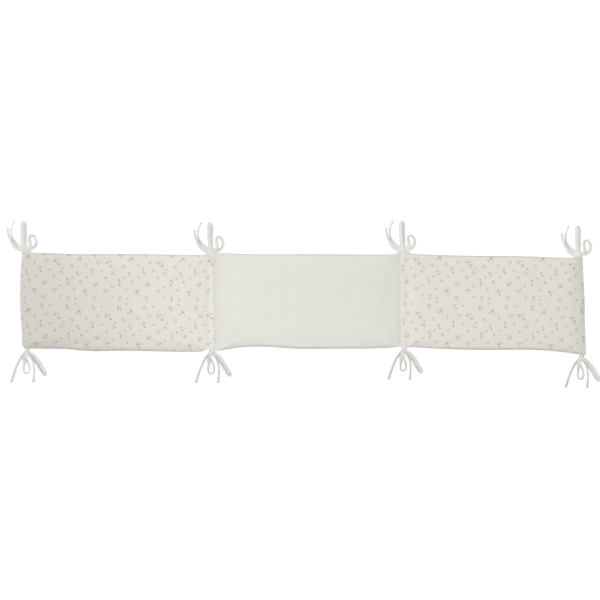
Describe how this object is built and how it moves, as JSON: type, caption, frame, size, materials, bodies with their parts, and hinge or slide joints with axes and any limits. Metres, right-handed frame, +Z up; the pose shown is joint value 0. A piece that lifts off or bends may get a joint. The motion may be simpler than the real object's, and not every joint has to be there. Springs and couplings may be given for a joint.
{
  "type": "crib bumper",
  "caption": "Long padded cot bumper of three filled panels joined end to end, with fabric ties in bows along both long edges.",
  "frame": {"origin": "on the flat underside, at the middle of the middle panel", "axes": "+X along the length, towards the right printed panel; +Y across it, towards the upper ties; +Z up, out of the face"},
  "size_m": [1.8898, 0.5415, 0.034],
  "materials": {
    "print_cotton": "matte woven cotton with a small scattered flower print",
    "plain_cotton": "matte plain woven cotton, off-white",
    "tie_cotton": "matte folded and stitched cotton tape, off-white"
  },
  "bodies": {
    "root": {"panel_left": "print_cotton", "panel_middle": "plain_cotton", "panel_right": "print_cotton", "tie_top_1": "tie_cotton", "tie_top_2": "tie_cotton", "tie_top_3": "tie_cotton", "tie_top_4": "tie_cotton", "tie_bottom_1": "tie_cotton", "tie_bottom_2": "tie_cotton", "tie_bottom_3": "tie_cotton", "tie_bottom_4": "tie_cotton"}
  },
  "joints": []
}
